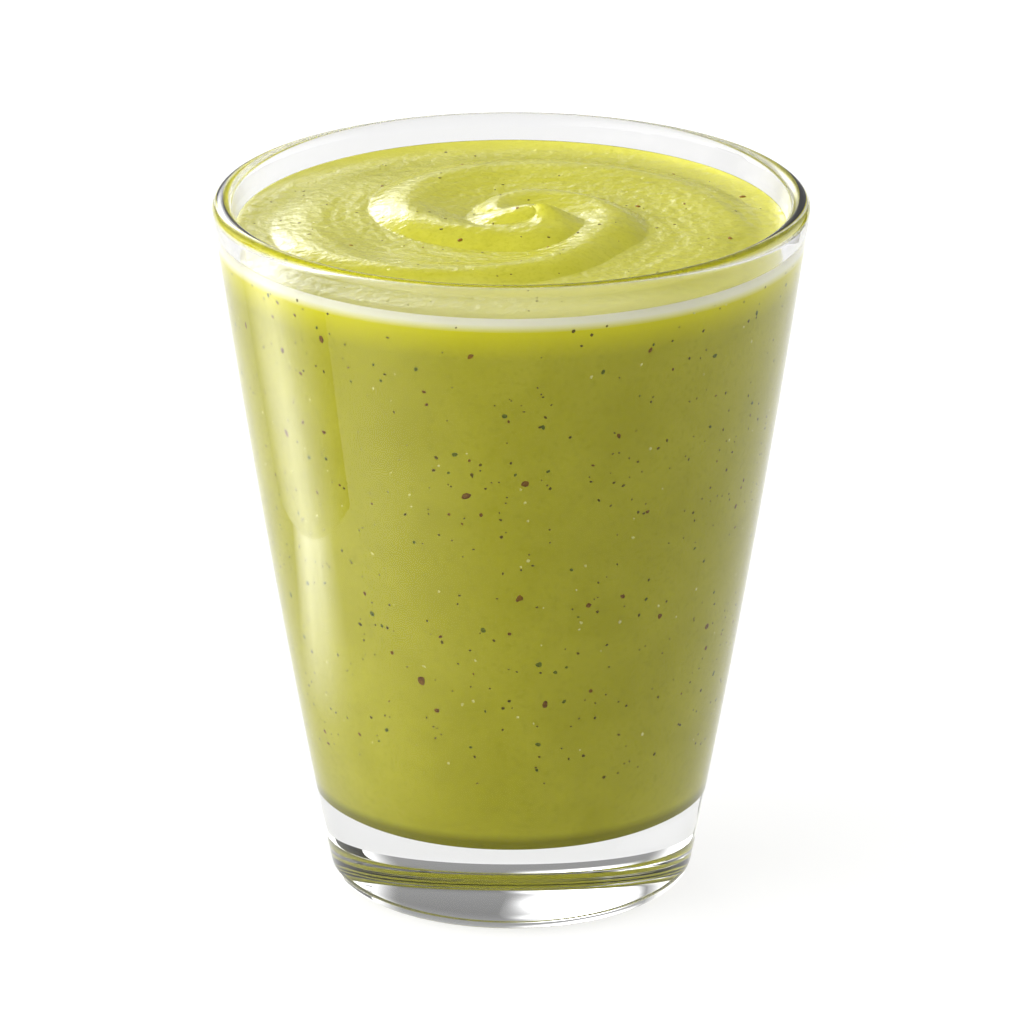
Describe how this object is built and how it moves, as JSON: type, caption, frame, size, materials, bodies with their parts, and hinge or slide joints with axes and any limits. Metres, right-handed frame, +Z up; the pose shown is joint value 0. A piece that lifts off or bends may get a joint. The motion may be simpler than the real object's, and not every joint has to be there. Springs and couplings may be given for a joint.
{
  "type": "green smoothie",
  "caption": "Green smoothie with a two-armed swirl on top, in a tapered clear glass tumbler with a thick base, filled almost to the rim.",
  "frame": {"origin": "centre of the foot, on the surface that the glass stands on", "axes": "+Z up along the glass, +Y away from the viewer, +X to the viewer's right"},
  "size_m": [0.0848, 0.0848, 0.1024],
  "materials": {
    "glass": "clear, smooth",
    "smoothie": "wet, thick, yellow-green, with fine flecks"
  },
  "bodies": {
    "root": {"tumbler": "glass", "smoothie": "smoothie"}
  },
  "joints": []
}
